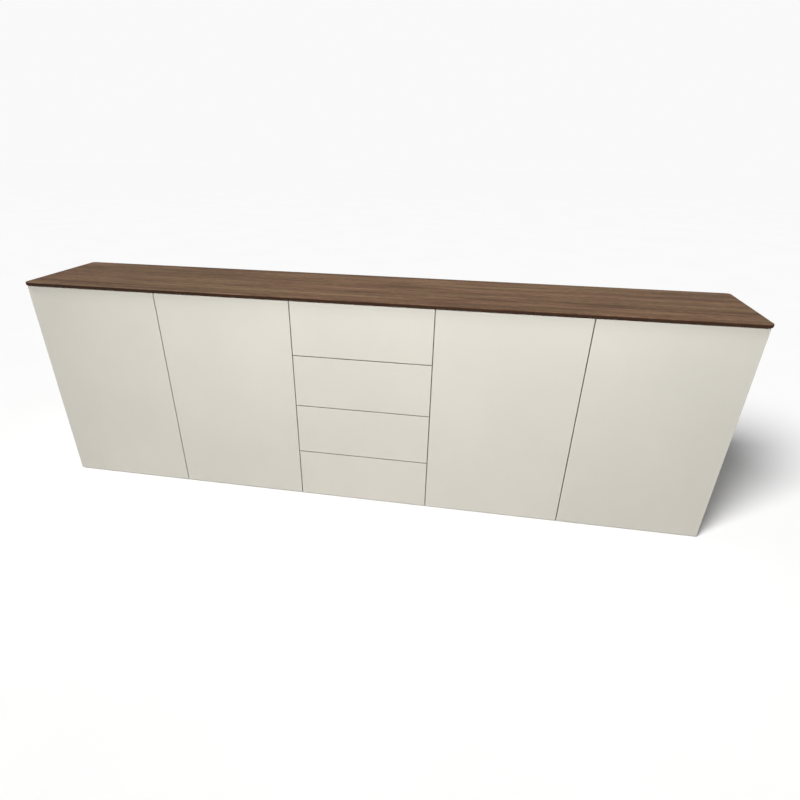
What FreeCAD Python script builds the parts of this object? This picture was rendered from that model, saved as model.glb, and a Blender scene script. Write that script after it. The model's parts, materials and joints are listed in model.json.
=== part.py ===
import FreeCAD, Part
import os
from FreeCAD import Vector

# A long sideboard without handles: two bays with a pair of doors each, beside a stack of drawers.
# Millimetres, +Z up, fronts facing -Y, origin on the floor under the middle of the outline.

# Fronts and their layout in equal columns
column_pitch = 500.0
doors_per_bay = 2
drawer_count = 4
front_height = 766.0
front_thickness = 19.0
front_gap = 3.0
front_standoff = 3.0
front_arris = 1.5

# Wooden top
top_thickness = 13.0
top_gap = 2.0
top_overhang = 7.0
top_corner_radius = 18.0
top_edge_radius = 4.0
screw_radius = 2.2
screw_head_radius = 4.5
screw_head_height = 2.5
screw_tip_cover = 4.0
screw_inset = 60.0

# Carcass of panels with the backs held in grooves
panel_thickness = 19.0
panel_arris = 1.0
carcass_depth = 380.0
floor_gap = 5.0
back_thickness = 8.0
back_inset = 10.0
groove_depth = 6.0
dowel_radius = 4.0
dowel_in_face = 11.0
dowel_in_end = 22.0
dowel_inset = 95.0

# Levelling feet
foot_radius = 20.0
foot_edge = 1.5
foot_stud_radius = 4.0
foot_stud_length = 12.0
foot_side_inset = 70.0
foot_depth_inset = 32.0

# Adjustable shelves on supports in a row of holes
shelf_thickness = 19.0
shelf_setback = 20.0
shelf_side_play = 1.0
shelf_back_play = 2.0
shelf_height_share = 0.5
support_radius = 2.5
support_depth = 9.0
support_reach = 10.0
support_width = 9.0
support_thickness = 3.0
support_inset = 40.0
hole_pitch = 32.0
holes_beside = 2

# Concealed hinges, each a cup in the door and a goose-neck arm on the carcass
hinge_inset = 100.0
pivot_edge = 8.8
pivot_depth_share = 0.58
knuckle_radius = 2.6
hinge_pin_radius = 1.3
hinge_pin_grip = 1.8
hinge_play = 0.05
press_play = 0.02
cup_radius = 17.5
cup_edge = 4.0
cup_base = 0.8
cup_rim = 1.5
flange_thickness = 1.2
wing_offset = 9.5
wing_width = 14.0
wing_length = 62.0
wing_corner = 5.0
slot_play = 0.5
arm_width = 8.0
arm_thickness = 2.6
arm_bend = 4.0
arm_clearance = 2.4
arm_foot_start = 6.0
arm_foot_length = 60.0
arm_foot_width = 20.0
arm_foot_corner = 4.0
arm_hole_radius = 3.0
arm_wall_height = 6.0
arm_wall_thickness = 1.5
arm_wall_corner = 3.0
plate_line = 37.0
plate_wing_width = 14.0
plate_wing_length = 56.0
plate_wing_thickness = 3.0

# Push latches under the carcass top, one for each door
latch_spacing = 45.0
latch_width = 16.0
latch_height = 16.0
latch_length = 62.0
latch_recess = 1.0
latch_corner = 3.0
latch_foot_width = 34.0
latch_foot_thickness = 2.5
plunger_radius = 5.0
plunger_length = 52.0
plunger_play = 0.08
plunger_edge = 0.8
plunger_reach = 0.3

# Drawer boxes
box_clearance = 13.0
box_rear_space = 25.0
box_side_thickness = 13.0
box_bottom_thickness = 6.0
box_bottom_rise = 12.0
box_groove = 6.0
box_top_edge = 2.0

# Telescopic runners of three nested channels
runner_width = 12.7
runner_height = 45.0
runner_setback = 2.0
runner_rear_space = 30.0
rail_wall = 1.5
rail_lip = 1.5
rail_depth = 9.5
rail_play = 0.3
rail_back_play = 0.5
rail_corner = 1.0
rail_hole_radius = 2.8
middle_hole_radius = 7.0
rail_holes = 3

# Clearances shared by the fits
fit_play = 0.1
end_play = 1.0
cut_overrun = 5.0
flat_limit = 0.001

# Places across the width
half_width = column_pitch * (2 * doors_per_bay + 1) / 2
end_inner = half_width - panel_thickness
divider_x = column_pitch / 2
divider_outer = divider_x + panel_thickness / 2
divider_inner = divider_x - panel_thickness / 2
bay_middle = (divider_x + half_width) / 2

# Places through the depth
total_depth = top_overhang + front_thickness + front_standoff + carcass_depth
top_front = -total_depth / 2
front_face = top_front + top_overhang
front_back = front_face + front_thickness
carcass_front = front_back + front_standoff
carcass_back = carcass_front + carcass_depth
back_rear = carcass_back - back_inset
back_front = back_rear - back_thickness
dowel_lines = (carcass_front + dowel_inset, carcass_back - dowel_inset)

# Heights
front_bottom = floor_gap
front_top = front_bottom + front_height
carcass_top = front_top + top_gap
bottom_top = floor_gap + panel_thickness
ceiling = carcass_top - panel_thickness
top_surface = carcass_top + top_thickness
shelf_top = bottom_top + (ceiling - bottom_top) * shelf_height_share + shelf_thickness / 2
shelf_bottom = shelf_top - shelf_thickness
hinge_heights = (front_bottom + hinge_inset, front_top - hinge_inset)

x_axis = Vector(1, 0, 0)
y_axis = Vector(0, 1, 0)
z_axis = Vector(0, 0, 1)
pieces = {}


def box(x0, x1, y0, y1, z0, z1):
    return Part.makeBox(x1 - x0, y1 - y0, z1 - z0, Vector(x0, y0, z0))


def rod(radius, start, direction, length):
    return Part.makeCylinder(radius, length, start, direction)


def mirrored(shape):
    return shape.mirror(Vector(), x_axis)


def on_side(shape, side):
    return mirrored(shape) if side == "right" else shape


def edges_along(shape, axis, **planes):
    across = {"x": ("YLength", "ZLength"), "y": ("XLength", "ZLength"), "z": ("XLength", "YLength")}
    wanted = dict.fromkeys(across[axis], 0) | planes
    return [e for e in shape.Edges
            if all(abs(getattr(e.BoundBox, name) - value) < flat_limit for name, value in wanted.items())]


def add(name, *solids):
    pieces.setdefault(name, []).extend(solids)


# Wooden top, held by screws through the carcass top

def screw_places():
    bays = ((-end_inner, -divider_outer), (-divider_inner, divider_inner), (divider_outer, end_inner))
    for low, high in bays:
        for x in (low + screw_inset, high - screw_inset):
            for y in (carcass_front + screw_inset, carcass_back - screw_inset):
                yield x, y


screw_length = panel_thickness + top_thickness - screw_tip_cover


def screw_rod(radius, x, y, start, length):
    return rod(radius, Vector(x, y, start), z_axis, length)


def wooden_top():
    reach = half_width + top_overhang
    slab = box(-reach, reach, top_front, carcass_back, carcass_top, top_surface)
    slab = slab.makeFillet(top_corner_radius, edges_along(slab, "z"))
    rims = [e for e in slab.Edges if e.BoundBox.ZLength < flat_limit]
    slab = slab.makeFillet(top_edge_radius, rims)
    depth = screw_length - panel_thickness + end_play
    pilots = [screw_rod(screw_radius + fit_play, x, y, carcass_top, depth) for x, y in screw_places()]
    return slab.cut(pilots)


def top_screw(x, y):
    shank = screw_rod(screw_radius, x, y, ceiling, screw_length)
    head = screw_rod(screw_head_radius, x, y, ceiling - screw_head_height, screw_head_height)
    return head.fuse(shank).removeSplitter()


add("walnut_top", wooden_top())
add("top_screws", *[top_screw(x, y) for x, y in screw_places()])


# Carcass panels

def level_dowel(sign, y, middle, play):
    face = sign * (end_inner + dowel_in_face + play * end_play)
    length = dowel_in_face + dowel_in_end + 2 * play * end_play
    return rod(dowel_radius + play * fit_play, Vector(face, y, middle), x_axis * -sign, length)


def upright_dowel(x, y, foot, up, play):
    start = foot - up * (dowel_in_face + play * end_play)
    length = dowel_in_face + dowel_in_end + 2 * play * end_play
    return rod(dowel_radius + play * fit_play, Vector(x, y, start), z_axis * up, length)


def carcass_dowels(play):
    middles = (floor_gap + panel_thickness / 2, ceiling + panel_thickness / 2)
    found = [level_dowel(sign, y, z, play) for sign in (-1, 1) for y in dowel_lines for z in middles]
    for sign in (-1, 1):
        for y in dowel_lines:
            found.append(upright_dowel(sign * divider_x, y, bottom_top, 1, play))
            found.append(upright_dowel(sign * divider_x, y, ceiling, -1, play))
    return found


dowel_bores = carcass_dowels(1)


def back_groove(x0, x1, z0, z1):
    return box(x0, x1, back_front - fit_play, back_rear + fit_play, z0, z1)


def shelf_rows():
    front = carcass_front + shelf_setback + support_inset
    rear = back_front - shelf_back_play - support_inset
    return front, rear


def support_holes(face, direction):
    radius = support_radius + fit_play
    middle = shelf_bottom - support_radius
    steps = range(-holes_beside, holes_beside + 1)
    return [rod(radius, Vector(face, y, middle + step * hole_pitch), direction, support_depth + end_play)
            for y in shelf_rows() for step in steps]


def end_panel():
    panel = box(-half_width, -end_inner, carcass_front, carcass_back, floor_gap, carcass_top)
    bare = edges_along(panel, "z", YMin=carcass_front)
    bare += edges_along(panel, "z", XMin=-half_width, YMin=carcass_back)
    panel = panel.makeFillet(panel_arris, bare)
    groove = back_groove(-end_inner - groove_depth, -end_inner,
                         bottom_top - groove_depth, ceiling + groove_depth)
    return panel.cut([groove] + support_holes(-end_inner, x_axis * -1) + dowel_bores)


def divider():
    panel = box(-divider_outer, -divider_inner, carcass_front, carcass_back, bottom_top, ceiling)
    panel = panel.makeFillet(panel_arris, edges_along(panel, "z", YMin=carcass_front))
    outer = back_groove(-divider_outer, -divider_outer + groove_depth, bottom_top, ceiling)
    inner = back_groove(-divider_inner - groove_depth, -divider_inner, bottom_top, ceiling)
    return panel.cut([outer, inner] + support_holes(-divider_outer, x_axis) + dowel_bores)


def foot_places():
    lines = (half_width - foot_side_inset, bay_middle, divider_x)
    for x in [sign * line for sign in (-1, 1) for line in lines]:
        for y in (carcass_front + foot_depth_inset, carcass_back - foot_depth_inset):
            yield x, y


def level_panel(z0, z1):
    panel = box(-end_inner, end_inner, carcass_front, carcass_back, z0, z1)
    return panel.makeFillet(panel_arris, edges_along(panel, "x", YMin=carcass_front))


def bottom_panel():
    panel = level_panel(floor_gap, bottom_top)
    groove = back_groove(-end_inner, end_inner, bottom_top - groove_depth, bottom_top)
    depth = foot_stud_length + end_play
    studs = [rod(foot_stud_radius + fit_play, Vector(x, y, floor_gap), z_axis, depth)
             for x, y in foot_places()]
    return panel.cut([groove] + dowel_bores + studs)


def carcass_top_panel():
    panel = level_panel(ceiling, carcass_top)
    groove = back_groove(-end_inner, end_inner, ceiling, ceiling + groove_depth)
    holes = [screw_rod(screw_radius + fit_play, x, y, ceiling, panel_thickness)
             for x, y in screw_places()]
    return panel.cut([groove] + dowel_bores + holes)


def back_panel(x0, x1):
    tongue = groove_depth - end_play
    return box(x0 - tongue, x1 + tongue, back_front, back_rear, bottom_top - tongue, ceiling + tongue)


def levelling_foot(x, y):
    tip = floor_gap + foot_stud_length
    outline = [Vector(0, 0, 0), Vector(foot_radius - foot_edge, 0, 0), Vector(foot_radius, 0, foot_edge),
               Vector(foot_radius, 0, floor_gap), Vector(foot_stud_radius, 0, floor_gap),
               Vector(foot_stud_radius, 0, tip), Vector(0, 0, tip), Vector(0, 0, 0)]
    foot = Part.Face(Part.makePolygon(outline)).revolve(Vector(), z_axis, 360)
    foot.translate(Vector(x, y, 0))
    return foot


def shelf():
    board = box(-end_inner + shelf_side_play, -divider_outer - shelf_side_play,
                carcass_front + shelf_setback, back_front - shelf_back_play, shelf_bottom, shelf_top)
    return board.makeFillet(panel_arris, edges_along(board, "x", YMin=carcass_front + shelf_setback))


def shelf_support(face, inward, y):
    pin = rod(support_radius, Vector(face - inward * support_depth, y, shelf_bottom - support_radius),
              x_axis * inward, support_depth + support_reach)
    ends = sorted((face, face + inward * support_reach))
    seat = box(ends[0], ends[1], y - support_width / 2, y + support_width / 2,
               shelf_bottom - support_thickness, shelf_bottom)
    return pin.fuse(seat).removeSplitter()


for side in ("left", "right"):
    add(side + "_end_panel", on_side(end_panel(), side))
    add(side + "_divider", on_side(divider(), side))
    add(side + "_back_panel", on_side(back_panel(-end_inner, -divider_outer), side))
    add(side + "_shelf", on_side(shelf(), side))
    for y in shelf_rows():
        add("shelf_supports", on_side(shelf_support(-end_inner, 1, y), side),
            on_side(shelf_support(-divider_outer, -1, y), side))
add("centre_back_panel", back_panel(-divider_inner, divider_inner))
add("bottom_panel", bottom_panel())
add("carcass_top_panel", carcass_top_panel())
add("carcass_dowels", *carcass_dowels(0))
add("levelling_feet", *[levelling_foot(x, y) for x, y in foot_places()])


# Hinges, drawn with x from the door's hinged edge, y from its back and z from the hinge's middle

pivot_depth = front_thickness * pivot_depth_share
slot_depth = pivot_depth + knuckle_radius + slot_play
cup_depth = slot_depth + cup_base
cup_middle = cup_edge + cup_radius
open_back = pivot_edge + pivot_depth + flange_thickness
arm_inner = max(panel_thickness, open_back) + arm_clearance
arm_outer = arm_inner + arm_thickness
foot_start = front_standoff + arm_foot_start
foot_end = foot_start + arm_foot_length


def pivot_rod(radius, half_length):
    return rod(radius, Vector(pivot_edge, -pivot_depth, -half_length), z_axis, 2 * half_length)


pin_half = arm_width / 2 + slot_play + hinge_pin_grip


def hinge_cup():
    body = rod(cup_radius, Vector(cup_middle, -cup_depth, 0), y_axis, cup_depth)
    rim = rod(cup_radius + cup_rim, Vector(cup_middle, 0, 0), y_axis, flange_thickness)
    line = cup_middle + wing_offset
    wings = box(line - wing_width / 2, line + wing_width / 2, 0, flange_thickness,
                -wing_length / 2, wing_length / 2)
    wings = wings.makeFillet(wing_corner, edges_along(wings, "y"))
    half = arm_width / 2 + slot_play
    slot = box(pivot_edge - knuckle_radius - slot_play, arm_outer + slot_play,
               -slot_depth, flange_thickness + cut_overrun, -half, half)
    cup = body.fuse([rim, wings]).removeSplitter()
    return cup.cut([slot, pivot_rod(hinge_pin_radius + press_play, pin_half + press_play)])


def arm_wall(sign):
    edge = sign * arm_foot_width / 2
    sides = sorted((edge, edge - sign * arm_wall_thickness))
    crest = arm_outer + arm_wall_height
    wall = box(arm_inner, crest, foot_start + arm_foot_corner, foot_end - arm_foot_corner, sides[0], sides[1])
    return wall.makeFillet(arm_wall_corner, edges_along(wall, "z", XMin=crest))


def hinge_arm():
    half = arm_width / 2
    low = -pivot_depth - knuckle_radius
    reach = box(pivot_edge, arm_outer, low, low + arm_thickness, -half, half)
    rise = box(arm_inner, arm_outer, low, foot_end - arm_foot_corner, -half, half)
    neck = reach.fuse(rise).removeSplitter()
    neck = neck.makeFillet(arm_bend, edges_along(neck, "z", XMin=arm_outer, YMin=low))
    foot = box(arm_inner, arm_outer, foot_start, foot_end, -arm_foot_width / 2, arm_foot_width / 2)
    foot = foot.makeFillet(arm_foot_corner, edges_along(foot, "x"))
    arm = neck.fuse([foot, pivot_rod(knuckle_radius, half), arm_wall(1), arm_wall(-1)]).removeSplitter()
    quarter = arm_foot_length / 4
    holes = [rod(arm_hole_radius, Vector(arm_inner, foot_start + step * quarter, 0), x_axis, arm_thickness)
             for step in (1, 3)]
    return arm.cut(holes + [pivot_rod(hinge_pin_radius + hinge_play, half)])


def hinge_plate(overlay):
    seat = box(overlay, arm_inner, foot_start, foot_end, -arm_foot_width / 2, arm_foot_width / 2)
    seat = seat.makeFillet(arm_foot_corner, edges_along(seat, "x"))
    line = front_standoff + plate_line
    wings = box(overlay, overlay + plate_wing_thickness, line - plate_wing_width / 2,
                line + plate_wing_width / 2, -plate_wing_length / 2, plate_wing_length / 2)
    wings = wings.makeFillet(wing_corner, edges_along(wings, "x"))
    return seat.fuse(wings).removeSplitter()


# Doors of the left bay, then mirrored for the right one

doors = {
    "outer": {"edge": -half_width, "free": -bay_middle - front_gap / 2, "turned": False,
              "overlay": panel_thickness, "latch": -bay_middle - latch_spacing},
    "inner": {"edge": -divider_x - front_gap / 2, "free": -bay_middle + front_gap / 2, "turned": True,
              "overlay": divider_outer - divider_x - front_gap / 2, "latch": -bay_middle + latch_spacing},
}


def hung(shape, door, height):
    placed = mirrored(shape) if door["turned"] else shape.copy()
    placed.translate(Vector(door["edge"], front_back, height))
    return placed


def front_panel(x0, x1, z0, z1):
    panel = box(x0, x1, front_face, front_back, z0, z1)
    return panel.makeFillet(front_arris, panel.Edges)


def door_panel(door):
    ends = sorted((door["edge"], door["free"]))
    panel = front_panel(ends[0], ends[1], front_bottom, front_top)
    bore = rod(cup_radius + fit_play, Vector(cup_middle, -cup_depth - fit_play, 0), y_axis,
               cup_depth + cut_overrun)
    return panel.cut([hung(bore, door, z) for z in hinge_heights])


plunger_middle = ceiling - latch_foot_thickness - latch_height / 2
latch_front = carcass_front + latch_recess
plunger_tip = front_back + plunger_reach


def latch_housing(x):
    body = box(x - latch_width / 2, x + latch_width / 2, latch_front, latch_front + latch_length,
               plunger_middle - latch_height / 2, ceiling)
    body = body.makeFillet(latch_corner, edges_along(body, "y", ZMin=plunger_middle - latch_height / 2))
    foot = box(x - latch_foot_width / 2, x + latch_foot_width / 2, latch_front,
               latch_front + latch_length, ceiling - latch_foot_thickness, ceiling)
    foot = foot.makeFillet(latch_corner, edges_along(foot, "z"))
    bore = rod(plunger_radius + plunger_play, Vector(x, latch_front, plunger_middle), y_axis,
               plunger_tip + plunger_length + end_play - latch_front)
    return body.fuse(foot).removeSplitter().cut(bore)


def latch_plunger(x):
    plunger = rod(plunger_radius, Vector(x, plunger_tip, plunger_middle), y_axis, plunger_length)
    tip = [e for e in plunger.Edges if abs(e.BoundBox.YMax - plunger_tip) < flat_limit]
    return plunger.makeChamfer(plunger_edge, tip)


for side in ("left", "right"):
    for kind, door in doors.items():
        name = side + "_" + kind
        add(name + "_door_panel", on_side(door_panel(door), side))
        add(name + "_latch_plunger", on_side(latch_plunger(door["latch"]), side))
        add("latch_housings", on_side(latch_housing(door["latch"]), side))
        for z in hinge_heights:
            add(name + "_hinge_cups", on_side(hung(hinge_cup(), door, z), side))
            add(name + "_hinge_pins", on_side(hung(pivot_rod(hinge_pin_radius, pin_half), door, z), side))
            add("hinge_arms", on_side(hung(hinge_arm(), door, z), side))
            add("hinge_plates", on_side(hung(hinge_plate(door["overlay"]), door, z), side))


# Drawers, each a front with a box behind it on a pair of runners

drawer_front_height = (front_height - (drawer_count - 1) * front_gap) / drawer_count
box_rise = panel_thickness + box_clearance
box_height = drawer_front_height - 2 * box_rise
box_outer = divider_inner - runner_width
box_inner = box_outer - box_side_thickness
box_rear = back_front - box_rear_space
rail_front = carcass_front + runner_setback
rail_rear = back_front - runner_rear_space


def box_groove_cut(foot, x0, x1, y0, y1):
    floor = foot + box_bottom_rise
    return box(x0, x1, y0, y1, floor - fit_play, floor + box_bottom_thickness + fit_play)


def drawer_front(low):
    foot = low + box_rise
    panel = front_panel(-divider_x + front_gap / 2, divider_x - front_gap / 2, low, low + drawer_front_height)
    reach = box_inner + box_groove
    return panel.cut(box_groove_cut(foot, -reach, reach, front_back - box_groove, front_back))


def drawer_side(foot):
    panel = box(-box_outer, -box_inner, front_back, box_rear, foot, foot + box_height)
    panel = panel.makeFillet(box_top_edge, edges_along(panel, "y", ZMin=foot + box_height))
    return panel.cut(box_groove_cut(foot, -box_inner - box_groove, -box_inner, front_back, box_rear))


def drawer_back(foot):
    floor = foot + box_bottom_rise + box_bottom_thickness
    return box(-box_inner, box_inner, box_rear - box_side_thickness, box_rear, floor, foot + box_height)


def drawer_bottom(foot):
    reach = box_inner + box_groove - end_play
    floor = foot + box_bottom_rise
    return box(-reach, reach, front_back - box_groove + end_play, box_rear,
               floor, floor + box_bottom_thickness)


def channel(back, mouth, half, lip, hole):
    ends = sorted((back, mouth))
    outer = box(ends[0], ends[1], rail_front, rail_rear, -half, half)
    outer = outer.makeFillet(rail_corner, edges_along(outer, "y", XMin=back))
    inward = 1 if mouth > back else -1
    floor = back + inward * rail_wall
    room = sorted((floor, mouth - inward * lip))
    throat = sorted((floor, mouth))
    neck = half - rail_wall - lip
    hollow = box(room[0], room[1], rail_front, rail_rear, rail_wall - half, half - rail_wall)
    opening = box(throat[0], throat[1], rail_front, rail_rear, -neck, neck)
    step = (rail_rear - rail_front) / rail_holes
    holes = [rod(hole, Vector(back, rail_front + step * (2 * count + 1) / 2, 0), x_axis * inward, rail_wall)
             for count in range(rail_holes)]
    return outer.cut([hollow, opening] + holes)


middle_half = runner_height / 2 - rail_wall - rail_lip - rail_play
drawer_half = middle_half - rail_wall - rail_play


def runner_pair(middle, back, mouth, half, lip, hole):
    left = channel(back, mouth, half, lip, hole)
    left.translate(Vector(-divider_inner, 0, middle))
    return left, mirrored(left)


for number in range(1, drawer_count + 1):
    low = front_bottom + (drawer_count - number) * (drawer_front_height + front_gap)
    foot = low + box_rise
    middle = foot + box_height / 2
    name = "drawer_" + str(number)
    add(name + "_front", drawer_front(low))
    add(name + "_sides", drawer_side(foot), mirrored(drawer_side(foot)))
    add(name + "_back", drawer_back(foot))
    add(name + "_bottom", drawer_bottom(foot))
    add("cabinet_rails", *runner_pair(middle, 0, rail_depth, runner_height / 2, rail_lip, rail_hole_radius))
    add(name + "_middle_rails", *runner_pair(middle, rail_wall + rail_back_play,
                                             runner_width - rail_wall - rail_play,
                                             middle_half, 0, middle_hole_radius))
    add(name + "_rails", *runner_pair(middle, runner_width, 2 * rail_wall + 2 * rail_back_play,
                                      drawer_half, 0, rail_hole_radius))


os.makedirs("parts", exist_ok=True)
for name, solids in pieces.items():
    shape = solids[0] if len(solids) == 1 else Part.makeCompound(solids)
    shape.exportStep("parts/" + name + ".step")
print(len(pieces), "nodes,", sum(len(solids) for solids in pieces.values()), "solids")
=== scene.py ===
import json
import math
import bpy
from mathutils import Matrix, Vector


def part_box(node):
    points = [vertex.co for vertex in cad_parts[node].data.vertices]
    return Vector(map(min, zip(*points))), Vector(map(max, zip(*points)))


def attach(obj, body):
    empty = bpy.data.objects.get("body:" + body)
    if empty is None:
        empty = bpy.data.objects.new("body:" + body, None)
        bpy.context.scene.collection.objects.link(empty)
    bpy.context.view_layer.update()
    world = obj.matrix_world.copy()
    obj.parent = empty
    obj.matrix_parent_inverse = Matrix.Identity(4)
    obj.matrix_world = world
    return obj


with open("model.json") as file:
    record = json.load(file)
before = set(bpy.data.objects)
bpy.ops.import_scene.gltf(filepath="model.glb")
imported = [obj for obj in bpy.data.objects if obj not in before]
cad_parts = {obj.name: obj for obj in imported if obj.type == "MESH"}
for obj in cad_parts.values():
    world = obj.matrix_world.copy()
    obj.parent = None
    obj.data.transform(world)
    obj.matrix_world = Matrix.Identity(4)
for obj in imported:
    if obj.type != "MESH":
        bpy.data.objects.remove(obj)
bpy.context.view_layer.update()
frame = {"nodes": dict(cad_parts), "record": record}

scene = bpy.context.scene
nodes = frame["nodes"]
print("sideboard frame loaded,", len(nodes), "nodes")


# small helpers for building node trees
def newFinish(name):
    finish = bpy.data.materials.new(name)
    finish.use_nodes = True
    tree = finish.node_tree
    return finish, tree, tree.nodes["Principled BSDF"]


def addNode(tree, kind, **values):
    node = tree.nodes.new("ShaderNode" + kind)
    for key, value in values.items():
        setattr(node, key, value)
    return node


def wire(tree, source, target):
    tree.links.new(source, target)


def feed(tree, socket, value):
    # the value is a number or a name, a colour, or the output of another node
    if isinstance(value, (int, float, str)):
        socket.default_value = value
    elif isinstance(value, tuple):
        socket.default_value = value + (1.0,)
    else:
        wire(tree, value, socket)


def objectSpace(tree, stretch=(1, 1, 1), shift=(0, 0, 0)):
    coords = addNode(tree, "TexCoord")
    mapping = addNode(tree, "Mapping")
    mapping.inputs["Scale"].default_value = stretch
    mapping.inputs["Location"].default_value = shift
    wire(tree, coords.outputs["Object"], mapping.inputs["Vector"])
    return mapping.outputs["Vector"]


def noise(tree, scale, detail=3.0, rough=0.5, distort=0.0, stretch=(1, 1, 1), shift=(0, 0, 0)):
    node = addNode(tree, "TexNoise")
    for label, value in (("Scale", scale), ("Detail", detail), ("Roughness", rough), ("Distortion", distort)):
        node.inputs[label].default_value = value
    wire(tree, objectSpace(tree, stretch, shift), node.inputs["Vector"])
    return node.outputs["Fac"]


def ramp(tree, value, places, colours):
    node = addNode(tree, "ValToRGB")
    points = node.color_ramp.elements
    while len(points) < len(places):
        points.new(0.5)
    for point, place, colour in zip(points, places, colours):
        point.position = place
        point.color = colour + (1.0,)
    wire(tree, value, node.inputs["Fac"])
    return node.outputs["Color"]


def spread(tree, value, low, high, fromLow=0.3, fromHigh=0.7):
    node = addNode(tree, "MapRange")
    for label, limit in (("From Min", fromLow), ("From Max", fromHigh), ("To Min", low), ("To Max", high)):
        node.inputs[label].default_value = limit
    wire(tree, value, node.inputs["Value"])
    return node.outputs["Result"]


def maths(tree, operation, first, second=0.0):
    node = addNode(tree, "Math", operation=operation)
    feed(tree, node.inputs[0], first)
    feed(tree, node.inputs[1], second)
    return node.outputs["Value"]


def blendColour(tree, amount, first, second, mode="MIX"):
    # the node's sockets share their names, so those for colours go by number
    node = addNode(tree, "Mix", data_type="RGBA", blend_type=mode)
    for index, value in ((0, amount), (6, first), (7, second)):
        feed(tree, node.inputs[index], value)
    return node.outputs[2]


edgeWear = {"samples": 6, "lean": (0.004, 0.08)}


def wornEdges(tree, colour, tone, radius, amount):
    # how far the rounded normal leans away from the true one shows the arrises
    bevel = addNode(tree, "Bevel", samples=edgeWear["samples"])
    bevel.inputs["Radius"].default_value = radius
    plain = addNode(tree, "NewGeometry")
    product = addNode(tree, "VectorMath", operation="DOT_PRODUCT")
    wire(tree, bevel.outputs["Normal"], product.inputs[0])
    wire(tree, plain.outputs["Normal"], product.inputs[1])
    lean = maths(tree, "SUBTRACT", 1.0, product.outputs["Value"])
    mask = spread(tree, lean, 0.0, 1.0, *edgeWear["lean"])
    return blendColour(tree, maths(tree, "MULTIPLY", mask, amount), colour, tone)


def wireShader(tree, shader, colour, roughness, bumps):
    # bumps are (height, distance, strength), the last one outermost
    wire(tree, colour, shader.inputs["Base Color"])
    wire(tree, roughness, shader.inputs["Roughness"])
    normal = shader.inputs["Normal"]
    for height, distance, strength in reversed(bumps):
        bump = addNode(tree, "Bump")
        bump.inputs["Distance"].default_value = distance
        bump.inputs["Strength"].default_value = strength
        wire(tree, height, bump.inputs["Height"])
        wire(tree, bump.outputs["Normal"], normal)
        normal = bump.inputs["Normal"]


# finishes: wear is a radius and an amount, a bump is a distance and a strength, lengths are in metres
walnutLook = {
    "dark": (0.088, 0.048, 0.027), "middle": (0.168, 0.096, 0.0535), "light": (0.260, 0.161, 0.096),
    # the walnut band colour is the edge band's darker walnut, darkened further with painted shade
    "red": (1.0, 0.955, 0.965), "olive": (0.945, 0.985, 0.925), "shadedBand": (0.027, 0.0095, 0.003),
    "broad": {"stretch": (0.7, 13.0, 13.0), "scale": 1.5, "rough": 0.6, "distort": 0.7},
    "streak": {"stretch": (2.2, 46.0, 46.0), "shift": (3.1, 0, 0), "scale": 1.5, "detail": 5.0,
               "rough": 0.68, "distort": 0.12},
    "fleck": {"stretch": (30.0, 96.0, 96.0), "shift": (0, 4.2, 0), "scale": 1.3, "detail": 2.0},
    "thread": {"stretch": (8.0, 250.0, 250.0), "shift": (1.7, 0, 0), "scale": 1.3, "rough": 0.62},
    "pores": {"stretch": (14.0, 640.0, 640.0), "scale": 1.0, "detail": 2.0},
    "hue": {"stretch": (1.1, 8.0, 8.0), "shift": (5.3, 2.2, 0), "scale": 1.4, "rough": 0.6, "distort": 0.4},
    "shares": {"broad": 0.24, "streak": 0.42, "fleck": 0.18, "thread": 0.16},
    "tones": (0.41, 0.50, 0.59), "hues": (0.40, 0.60), "poreRange": (0.36, 0.46), "poreStain": 0.5,
    "shadedBandHeight": (0.7825, 0.7852), "shadedBandStreak": 0.25, "wear": (0.003, 0.08),
    "roughness": (0.35, 0.50), "specular": 0.12, "streakBump": (0.0004, 0.25), "poreBump": (0.0003, 0.35),
}


def walnutVeneer():
    look = walnutLook
    finish, tree, shader = newFinish("walnutVeneer")
    # broad figure, streaks, flecks and threads, all drawn out along the length and added up
    layers = {name: noise(tree, **look[name]) for name in look["shares"]}
    mixed = 0.0
    for name, share in look["shares"].items():
        mixed = maths(tree, "ADD", mixed, maths(tree, "MULTIPLY", layers[name], share))
    colour = ramp(tree, mixed, look["tones"], (look["dark"], look["middle"], look["light"]))
    hue = ramp(tree, noise(tree, **look["hue"]), look["hues"], (look["red"], look["olive"]))
    colour = blendColour(tree, 1.0, colour, hue, "MULTIPLY")
    pores = spread(tree, noise(tree, **look["pores"]), 1.0, 0.0, *look["poreRange"])
    colour = blendColour(tree, maths(tree, "MULTIPLY", pores, look["poreStain"]), colour, look["dark"])
    colour = wornEdges(tree, colour, look["light"], *look["wear"])
    # the solid edge band below the veneer is a darker walnut, painted darker still as painted shade along the
    # rounded front edge and the underside
    streak = layers["streak"]
    place = addNode(tree, "SeparateXYZ")
    wire(tree, objectSpace(tree), place.inputs["Vector"])
    shadedBand = spread(tree, place.outputs["Z"], 1.0, 0.0, *look["shadedBandHeight"])
    shadedBandTone = blendColour(tree, spread(tree, streak, 0.0, look["shadedBandStreak"]), look["shadedBand"], look["dark"])
    colour = blendColour(tree, shadedBand, colour, shadedBandTone)
    shader.inputs["Specular IOR Level"].default_value = look["specular"]
    bumps = [(streak, *look["streakBump"]), (pores, *look["poreBump"])]
    wireShader(tree, shader, colour, spread(tree, streak, *look["roughness"]), bumps)
    return finish


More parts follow.
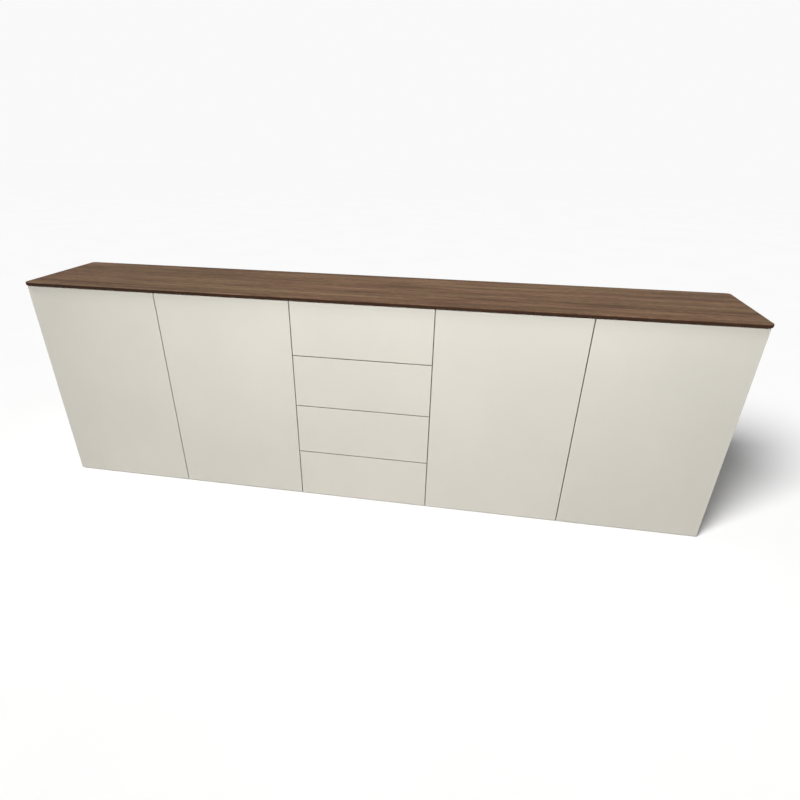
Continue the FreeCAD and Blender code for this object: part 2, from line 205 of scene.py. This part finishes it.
ivoryLook = {
    "base": (0.605, 0.583, 0.515), "pale": (0.645, 0.616, 0.548), "haze": (0.52, 0.49, 0.43),
    # the ivory band colour is painted shade for the narrow sides in the seams between fronts
    "rub": (0.74, 0.725, 0.67), "shadedBand": (0.480, 0.461, 0.406),
    "cloud": {"scale": 2.3}, "peel": {"scale": 620.0, "detail": 2.0},
    "film": {"shift": (7, 2, 5), "scale": 38.0, "detail": 4.0, "rough": 0.6},
    "tones": (0.35, 0.68), "filmRange": (0.55, 0.72), "filmStain": 0.06, "wear": (0.0018, 0.35),
    "seamShadeFront": (-0.1965, -0.1945), "seamShadeBack": (-0.1800, -0.1785), "seamShadeSlope": (0.2, 0.7),
    "seamShadeEnds": (1.2470, 1.2485), "roughness": (0.40, 0.50), "coat": 0.12, "coatRoughness": 0.25,
    "peelBump": (0.00006, 0.30), "cloudBump": (0.0006, 0.10),
}


def seamShadeBand(tree):
    # painted shade: the narrow sides that face a neighbour are painted greyer, just behind the rounded arris,
    # so the seams between the fronts look shaded
    look = ivoryLook
    coords = addNode(tree, "TexCoord")
    place = addNode(tree, "SeparateXYZ")
    facing = addNode(tree, "SeparateXYZ")
    wire(tree, coords.outputs["Object"], place.inputs["Vector"])
    wire(tree, coords.outputs["Normal"], facing.inputs["Vector"])
    slope = maths(tree, "ABSOLUTE", facing.outputs["Y"])
    aside = maths(tree, "ABSOLUTE", place.outputs["X"])
    seamShadeMask = spread(tree, place.outputs["Y"], 0.0, 1.0, *look["seamShadeFront"])
    for value, key in ((place.outputs["Y"], "seamShadeBack"), (slope, "seamShadeSlope"), (aside, "seamShadeEnds")):
        seamShadeMask = maths(tree, "MULTIPLY", seamShadeMask, spread(tree, value, 1.0, 0.0, *look[key]))
    return seamShadeMask


def ivoryLacquer():
    look = ivoryLook
    finish, tree, shader = newFinish("ivoryLacquer")
    cloud, film, peel = (noise(tree, **look[key]) for key in ("cloud", "film", "peel"))
    colour = ramp(tree, cloud, look["tones"], (look["base"], look["pale"]))
    stain = spread(tree, film, 0.0, look["filmStain"], *look["filmRange"])
    colour = blendColour(tree, stain, colour, look["haze"])
    colour = wornEdges(tree, colour, look["rub"], *look["wear"])
    # painted shade darkens the narrow sides in the seams between the fronts
    colour = blendColour(tree, seamShadeBand(tree), colour, look["shadedBand"])
    shader.inputs["Coat Weight"].default_value = look["coat"]
    shader.inputs["Coat Roughness"].default_value = look["coatRoughness"]
    bumps = [(peel, *look["peelBump"]), (cloud, *look["cloudBump"])]
    wireShader(tree, shader, colour, spread(tree, film, *look["roughness"]), bumps)
    return finish


boardLook = {
    "base": (0.715, 0.705, 0.665), "pale": (0.745, 0.735, 0.695), "edge": (0.58, 0.55, 0.49),
    "cloud": {"scale": 5.0}, "grain": {"shift": (1, 4, 2), "scale": 900.0, "detail": 2.0, "rough": 0.6},
    "tones": (0.34, 0.66), "wear": (0.0016, 0.4), "roughness": (0.50, 0.62), "bump": (0.00012, 0.45),
}


def whiteBoard():
    look = boardLook
    finish, tree, shader = newFinish("whiteBoard")
    cloud, grain = (noise(tree, **look[key]) for key in ("cloud", "grain"))
    colour = ramp(tree, cloud, look["tones"], (look["base"], look["pale"]))
    colour = wornEdges(tree, colour, look["edge"], *look["wear"])
    wireShader(tree, shader, colour, spread(tree, cloud, *look["roughness"]), [(grain, *look["bump"])])
    return finish


birchLook = {"dark": (0.43, 0.30, 0.175), "middle": (0.56, 0.42, 0.27), "light": (0.66, 0.53, 0.37)}
beechLook = {"dark": (0.36, 0.21, 0.115), "middle": (0.46, 0.29, 0.165), "light": (0.56, 0.38, 0.24)}
timberLook = {
    "along": 1.2, "across": 30.0, "finer": 12,
    "figure": {"scale": 1.4, "detail": 4.0, "rough": 0.6, "distort": 0.5},
    "flecks": {"shift": (2, 5, 3), "scale": 1.5, "detail": 2.0},
    "tones": (0.34, 0.50, 0.64), "fleckRange": (0.56, 0.66), "fleckStain": 0.35, "wear": (0.002, 0.3),
    "roughness": (0.42, 0.56), "figureBump": (0.0004, 0.2), "fleckBump": (0.0002, 0.25),
}


def paleTimber(name, wood, axis):
    look = timberLook
    finish, tree, shader = newFinish(name)
    stretch = [look["along"] if letter == axis else look["across"] for letter in "xyz"]
    figure = noise(tree, stretch=stretch, **look["figure"])
    flecks = noise(tree, stretch=[value * look["finer"] for value in stretch], **look["flecks"])
    colour = ramp(tree, figure, look["tones"], (wood["dark"], wood["middle"], wood["light"]))
    stain = spread(tree, flecks, 0.0, look["fleckStain"], *look["fleckRange"])
    colour = blendColour(tree, stain, colour, wood["dark"])
    colour = wornEdges(tree, colour, wood["light"], *look["wear"])
    bumps = [(figure, *look["figureBump"]), (flecks, *look["fleckBump"])]
    wireShader(tree, shader, colour, spread(tree, figure, *look["roughness"]), bumps)
    return finish


nickelLook = {"dark": (0.50, 0.48, 0.44), "light": (0.68, 0.66, 0.61), "roughness": 0.20,
              "stretch": (620.0, 620.0, 40.0)}
zincLook = {"dark": (0.42, 0.43, 0.44), "light": (0.60, 0.61, 0.62), "roughness": 0.28,
            "stretch": (520.0, 14.0, 520.0)}
steelLook = {
    "drawn": {"scale": 1.5, "rough": 0.6}, "bloom": {"shift": (4, 1, 6), "scale": 55.0, "rough": 0.55},
    "tones": (0.32, 0.68), "wear": (0.0008, 0.5), "roughnessRange": 0.09, "bump": (0.00003, 0.12),
}


def platedSteel(name, plate):
    look = steelLook
    finish, tree, shader = newFinish(name)
    drawn = noise(tree, stretch=plate["stretch"], **look["drawn"])
    bloom = noise(tree, **look["bloom"])
    colour = ramp(tree, bloom, look["tones"], (plate["dark"], plate["light"]))
    colour = wornEdges(tree, colour, plate["light"], *look["wear"])
    roughness = spread(tree, drawn, plate["roughness"], plate["roughness"] + look["roughnessRange"])
    shader.inputs["Metallic"].default_value = 1.0
    wireShader(tree, shader, colour, roughness, [(drawn, *look["bump"])])
    return finish


latchLook = {"dark": (0.22, 0.22, 0.215), "light": (0.28, 0.28, 0.275), "roughness": 0.40}
plungerLook = {"dark": (0.44, 0.44, 0.43), "light": (0.52, 0.52, 0.51), "roughness": 0.36}
footLook = {"dark": (0.012, 0.012, 0.013), "light": (0.022, 0.022, 0.022), "roughness": 0.45}
plasticLook = {
    "spark": {"scale": 1500.0, "detail": 2.0}, "cloud": {"shift": (3, 3, 1), "scale": 45.0},
    "tones": (0.34, 0.66), "wear": (0.001, 0.4), "wornTone": 1.35, "roughnessRange": 0.16,
    "bump": (0.00012, 0.4),
}


def mouldedPlastic(name, plastic):
    look = plasticLook
    finish, tree, shader = newFinish(name)
    spark, cloud = (noise(tree, **look[key]) for key in ("spark", "cloud"))
    colour = ramp(tree, cloud, look["tones"], (plastic["dark"], plastic["light"]))
    worn = tuple(min(1.0, value * look["wornTone"]) for value in plastic["light"])
    colour = wornEdges(tree, colour, worn, *look["wear"])
    roughness = spread(tree, spark, plastic["roughness"], plastic["roughness"] + look["roughnessRange"])
    wireShader(tree, shader, colour, roughness, [(spark, *look["bump"])])
    return finish


finishes = {
    "walnut_veneer": walnutVeneer(),
    "ivory_lacquer": ivoryLacquer(),
    "white_board": whiteBoard(),
    "birch_side": paleTimber("birchAlongDepth", birchLook, "y"),
    "birch_board": paleTimber("birchAlongLength", birchLook, "x"),
    "beech": paleTimber("beechDowel", beechLook, "x"),
    "nickel_steel": platedSteel("nickelPlate", nickelLook),
    "zinc_steel": platedSteel("zincPlate", zincLook),
    "grey_plastic": mouldedPlastic("greyLatchPlastic", latchLook),
    "plunger": mouldedPlastic("palePlungerPlastic", plungerLook),
    "black_plastic": mouldedPlastic("blackFootPlastic", footLook),
}
# nodes whose names end like this have a finish apart from their slot's
ownFinish = {"sides": "birch_side", "plunger": "plunger"}


def dressNodes():
    for part in frame["record"]["subparts"]:
        name = part["node"]
        special = ownFinish.get(name.split("_")[-1])
        finish = finishes[special or part["material_slot"]]
        slots = nodes[name].material_slots
        if len(slots) == 0:
            nodes[name].data.materials.append(finish)
        for slot in slots:
            slot.material = finish


dressNodes()
print("finishes on all nodes")


# screws, made once by a node tree and set on every place given: shoulder and crown are shares
# of the head's radius, the skirt is a share of its height, and the turn is in radians
screwLabels = ("Head Radius", "Head Height", "Recess Width", "Recess Span", "Recess Depth")
screwShape = {"sides": 28, "shoulder": 0.97, "crown": 0.72, "skirt": 0.45, "turn": 1.57, "seed": 7}


def screwTree(name):
    shape = screwShape
    tree = bpy.data.node_groups.new(name, "GeometryNodeTree")
    kinds = [("Geometry", "Geometry"), *((label, "Float") for label in screwLabels), ("Finish", "Material")]
    for label, kind in kinds:
        tree.interface.new_socket(label, in_out="INPUT", socket_type="NodeSocket" + kind)
    tree.interface.new_socket("Geometry", in_out="OUTPUT", socket_type="NodeSocketGeometry")
    given = tree.nodes.new("NodeGroupInput")
    result = tree.nodes.new("NodeGroupOutput")

    def add(kind, sockets, **values):
        node = tree.nodes.new(kind)
        for key, value in values.items():
            setattr(node, key, value)
        for label, value in sockets.items():
            feed(tree, node.inputs[label], value)
        return node

    def combine(*values):
        node = addNode(tree, "CombineXYZ")
        for socket, value in zip(node.inputs, values):
            feed(tree, socket, value)
        return node.outputs["Vector"]

    def cone(bottom, top, tall):
        sockets = {"Vertices": shape["sides"], "Radius Bottom": bottom, "Radius Top": top, "Depth": tall}
        return add("GeometryNodeMeshCone", sockets).outputs["Mesh"]

    def raised(mesh, lift):
        sockets = {"Geometry": mesh, "Translation": combine(0.0, 0.0, lift)}
        return add("GeometryNodeTransform", sockets).outputs["Geometry"]

    def boolean(operation, *meshes):
        node = add("GeometryNodeMeshBoolean", {}, operation=operation, solver="EXACT")
        for label, mesh in meshes:
            wire(tree, mesh, node.inputs[label])
        return node.outputs["Mesh"]

    # a straight skirt with a flattened crown on it, and two crossing bars for the recess
    radius, height, width, span, depth = (given.outputs[label] for label in screwLabels)
    shoulder = maths(tree, "MULTIPLY", radius, shape["shoulder"])
    skirtTop = maths(tree, "MULTIPLY", height, shape["skirt"])
    crownTop = maths(tree, "MULTIPLY", radius, shape["crown"])
    crown = cone(shoulder, crownTop, maths(tree, "MULTIPLY", height, 1 - shape["skirt"]))
    head = boolean("UNION", ("Mesh 2", cone(radius, shoulder, skirtTop)), ("Mesh 2", raised(crown, skirtTop)))
    deep = maths(tree, "MULTIPLY", depth, 2.0)  # the upper half of each bar stands clear of the head
    sizes = (combine(span, width, deep), combine(width, span, deep))
    bars = [add("GeometryNodeMeshCube", {"Size": size}).outputs["Mesh"] for size in sizes]
    screw = boolean("DIFFERENCE", ("Mesh 1", head), *(("Mesh 2", raised(bar, height)) for bar in bars))

    # each screw stands along its own direction, with the recess stopped at its own angle
    points = add("GeometryNodeMeshToPoints", {"Mesh": given.outputs["Geometry"]})
    aim = add("GeometryNodeInputNamedAttribute", {"Name": "aim"}, data_type="FLOAT_VECTOR")
    stand = add("FunctionNodeAlignRotationToVector", {"Vector": aim.outputs["Attribute"]}, axis="Z")
    spin = add("FunctionNodeRandomValue", {"Seed": shape["seed"]}, data_type="FLOAT_VECTOR")
    spin.inputs[0].default_value = (0.0, 0.0, 0.0)
    spin.inputs[1].default_value = (0.0, 0.0, shape["turn"])
    local = add("FunctionNodeEulerToRotation", {"Euler": spin.outputs[0]})
    rotations = {"Rotation": stand.outputs["Rotation"], "Rotate By": local.outputs["Rotation"]}
    both = add("FunctionNodeRotateRotation", rotations, rotation_space="LOCAL")
    sockets = {"Points": points.outputs["Points"], "Instance": screw, "Rotation": both.outputs["Rotation"]}
    placed = add("GeometryNodeInstanceOnPoints", sockets)
    real = add("GeometryNodeRealizeInstances", {"Geometry": placed.outputs["Instances"]})
    sockets = {"Geometry": real.outputs["Geometry"], "Material": given.outputs["Finish"]}
    paint = add("GeometryNodeSetMaterial", sockets)
    wire(tree, paint.outputs["Geometry"], result.inputs["Geometry"])
    return tree


screwNodes = screwTree("crossHeadScrews")


def setScrews(name, body, slot, size, places):
    # places are pairs of a point and the outward direction there, in metres
    mesh = bpy.data.meshes.new(name + "Points")
    mesh.from_pydata([point for point, outward in places], [], [])
    aim = mesh.attributes.new("aim", "FLOAT_VECTOR", "POINT")
    for entry, (point, outward) in zip(aim.data, places):
        entry.vector = outward
    holder = bpy.data.objects.new(name + "Points", mesh)
    scene.collection.objects.link(holder)
    modifier = holder.modifiers.new("screws", "NODES")
    modifier.node_group = screwNodes
    values = dict(zip(screwLabels, size), Finish=finishes[slot])
    for item in screwNodes.interface.items_tree:
        if item.name in values:
            modifier[item.identifier] = values[item.name]
    graph = bpy.context.evaluated_depsgraph_get()
    made = bpy.data.meshes.new_from_object(holder.evaluated_get(graph), depsgraph=graph)
    bpy.data.objects.remove(holder)
    made.name = name
    piece = bpy.data.objects.new(name, made)
    scene.collection.objects.link(piece)
    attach(piece, body)


# sizes are in the order of the labels; a door is its name, the x of its hinged edge,
# the way from there into the door, and its overlay
hingeScrews = {
    "cup": (0.0036, 0.0014, 0.0009, 0.0042, 0.0010), "cupLine": 0.031, "cupHalfPitch": 0.024,
    "plate": (0.0038, 0.0016, 0.0009, 0.0044, 0.0011), "plateLine": 0.040, "plateHalfPitch": 0.016,
    "plateThickness": 0.003,
    "arm": (0.0042, 0.0022, 0.0010, 0.0050, 0.0015), "armFace": 0.02602, "armSteps": (0.024, 0.054),
    "heights": (0.105, 0.671), "doorBack": -0.1785,
    "doors": (("left_outer", -1.250, 1, 0.019), ("left_inner", -0.2515, -1, 0.008),
              ("right_inner", 0.2515, 1, 0.008), ("right_outer", 1.250, -1, 0.019)),
}


def fitHingeScrews():
    plan = hingeScrews
    plateDepth = plan["doorBack"] + plan["plateLine"]
    plates, arms = [], []
    for name, edge, inward, overlay in plan["doors"]:
        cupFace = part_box(name + "_hinge_cups")[1].y
        cupX = edge + inward * plan["cupLine"]
        plateX = edge + inward * (overlay + plan["plateThickness"])
        armX = edge + inward * plan["armFace"]
        cups, sideways = [], (inward, 0, 0)
        for height in plan["heights"]:
            for sign in (-1, 1):
                cups.append(((cupX, cupFace, height + sign * plan["cupHalfPitch"]), (0, 1, 0)))
                plates.append(((plateX, plateDepth, height + sign * plan["plateHalfPitch"]), sideways))
            for step in plan["armSteps"]:
                arms.append(((armX, plan["doorBack"] + step, height), sideways))
        setScrews(name + "_cup_screws", name + "_door", "nickel_steel", plan["cup"], cups)
    setScrews("hinge_plate_screws", "carcass", "nickel_steel", plan["plate"], plates)
    setScrews("hinge_arm_screws", "carcass", "nickel_steel", plan["arm"], arms)


fitHingeScrews()
print("hinge screws set")


latchScrews = {
    "size": (0.0032, 0.0014, 0.0008, 0.0038, 0.0010), "footThickness": 0.0025,
    "middles": (-0.795, -0.705, 0.705, 0.795), "steps": ((-0.0125, 0.012), (0.0125, 0.050)),
}


def fitLatchScrews():
    plan = latchScrews
    low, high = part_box("latch_housings")
    under = high.z - plan["footThickness"]
    places = [((middle + aside, low.y + depth, under), (0, 0, -1))
              for middle in plan["middles"] for aside, depth in plan["steps"]]
    setScrews("latch_screws", "carcass", "zinc_steel", plan["size"], places)


fitLatchScrews()


railScrews = {
    "size": (0.00275, 0.0015, 0.0007, 0.0032, 0.0008), "count": 3, "drawers": 4,
    "cabinetFace": 0.2405, "drawerFace": 0.2278,
}


def fitRailScrews():
    plan = railScrews
    onCarcass = []
    for number in range(1, plan["drawers"] + 1):
        low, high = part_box("drawer_%d_rails" % number)
        middle = (low.z + high.z) / 2
        step = (high.y - low.y) / plan["count"]
        onDrawer = []
        for sign in (-1, 1):
            for count in range(plan["count"]):
                depth = low.y + step * (count + 0.5)
                onCarcass.append(((sign * plan["cabinetFace"], depth, middle), (-sign, 0, 0)))
                onDrawer.append(((sign * plan["drawerFace"], depth, middle), (sign, 0, 0)))
        drawer = "drawer_%d" % number
        setScrews(drawer + "_rail_screws", drawer, "zinc_steel", plan["size"], onDrawer)
    setScrews("cabinet_rail_screws", "carcass", "zinc_steel", plan["size"], onCarcass)


fitRailScrews()
print("latch and runner screws set")


# floor, light and camera
floorPlan = {
    "reach": 30.0, "dark": (0.955, 0.955, 0.955), "light": (0.97, 0.97, 0.97), "tones": (0.3, 0.7),
    "cloud": {"scale": 1.5, "detail": 2.0}, "roughness": 0.9, "specular": 0.1,
}


def studioFloor():
    plan = floorPlan
    reach = plan["reach"]
    mesh = bpy.data.meshes.new("studioFloor")
    corners = [(-reach, -reach, 0), (reach, -reach, 0), (reach, reach, 0), (-reach, reach, 0)]
    mesh.from_pydata(corners, [], [(0, 1, 2, 3)])
    floor = bpy.data.objects.new("studioFloor", mesh)
    scene.collection.objects.link(floor)
    finish, tree, shader = newFinish("paleFloor")
    colour = ramp(tree, noise(tree, **plan["cloud"]), plan["tones"], (plan["dark"], plan["light"]))
    wire(tree, colour, shader.inputs["Base Color"])
    shader.inputs["Roughness"].default_value = plan["roughness"]
    shader.inputs["Specular IOR Level"].default_value = plan["specular"]
    mesh.materials.append(finish)
    return floor


lightPlan = {
    "skyLight": 0.20, "backdrop": 0.951, "sunPlace": (-3.0, -4.0, 4.0),
    "keyLight": {"towards": (0.46, 0.16, -0.873), "angle": 16.0, "strength": 2.72},
    "floorLight": {"towards": (0.477, 0.587, -0.655), "angle": 23.0, "strength": 3.9},
    "frontLight": {"at": (0.6, -2.5, 1.7), "to": (0.11, -0.2, 0.874), "size": (2.4, 0.5),
                   "spread": 54.0, "power": 6.0},
}


def aimLamp(name, data, place, towards):
    lamp = bpy.data.objects.new(name, data)
    scene.collection.objects.link(lamp)
    lamp.location = place
    lamp.rotation_euler = Vector(towards).to_track_quat("-Z", "Y").to_euler()
    return lamp


def softSun(name):
    plan = lightPlan[name]
    data = bpy.data.lights.new(name, "SUN")
    data.energy = plan["strength"]
    data.angle = math.radians(plan["angle"])
    return aimLamp(name, data, lightPlan["sunPlace"], plan["towards"])


def frontPanel(name):
    plan = lightPlan[name]
    data = bpy.data.lights.new(name, "AREA")
    data.shape = "RECTANGLE"
    data.size, data.size_y = plan["size"]
    data.energy = plan["power"]
    data.spread = math.radians(plan["spread"])
    return aimLamp(name, data, plan["at"], Vector(plan["to"]) - Vector(plan["at"]))


def shareLight(lamp, floor, state):
    # INCLUDE lights the floor alone, EXCLUDE everything but the floor
    group = bpy.data.collections.new(lamp.name + "Receivers")
    group.objects.link(floor)
    group.collection_objects[0].light_linking.link_state = state
    lamp.light_linking.receiver_collection = group


def studioLight(floor):
    world = bpy.data.worlds.new("studioSky")
    scene.world = world
    world.use_nodes = True
    tree = world.node_tree
    sky = tree.nodes["Background"]
    backdrop = addNode(tree, "Background")  # what stands behind the sideboard in the picture
    for node, key in ((sky, "skyLight"), (backdrop, "backdrop")):
        node.inputs["Color"].default_value = (1.0, 1.0, 1.0, 1.0)
        node.inputs["Strength"].default_value = lightPlan[key]
    path = addNode(tree, "LightPath")
    choice = addNode(tree, "MixShader")
    wire(tree, path.outputs["Is Camera Ray"], choice.inputs["Fac"])
    wire(tree, sky.outputs["Background"], choice.inputs[1])
    wire(tree, backdrop.outputs["Background"], choice.inputs[2])
    wire(tree, choice.outputs["Shader"], tree.nodes["World Output"].inputs["Surface"])
    # the floor has a lower sun of its own, so its shadow lies as in the picture
    shareLight(softSun("keyLight"), floor, "EXCLUDE")
    shareLight(frontPanel("frontLight"), floor, "EXCLUDE")
    shareLight(softSun("floorLight"), floor, "INCLUDE")
    scene.view_settings.view_transform = "Standard"


# angles in degrees, focal length, centre and frame in pixels of the picture, sensor in millimetres
viewPlan = {"at": (0.4269, -2.0276, 1.2401), "pitch": 30.494, "yaw": -10.463, "roll": 0.630,
            "focal": 560.18, "centre": (384.81, 471.04), "frame": 800.0, "sensor": 36.0}


def photoCamera():
    data = bpy.data.cameras.new("photoCamera")
    camera = bpy.data.objects.new("photoCamera", data)
    scene.collection.objects.link(camera)
    pitch, yaw, roll = (math.radians(viewPlan[key]) for key in ("pitch", "yaw", "roll"))
    ahead = Vector((math.sin(yaw) * math.cos(pitch), math.cos(yaw) * math.cos(pitch), -math.sin(pitch)))
    level = Vector((math.cos(yaw), -math.sin(yaw), 0))
    upright = level.cross(ahead)
    right = math.cos(roll) * level + math.sin(roll) * upright
    up = -math.sin(roll) * level + math.cos(roll) * upright
    turn = Matrix((right, up, -ahead)).transposed()
    camera.matrix_world = Matrix.Translation(viewPlan["at"]) @ turn.to_4x4()
    size = viewPlan["frame"]
    data.sensor_width = viewPlan["sensor"]
    data.lens = viewPlan["focal"] / size * viewPlan["sensor"]
    data.shift_x = (size / 2 - viewPlan["centre"][0]) / size
    data.shift_y = (viewPlan["centre"][1] - size / 2) / size
    scene.camera = camera


studioLight(studioFloor())
photoCamera()
print("floor, light and camera ready")
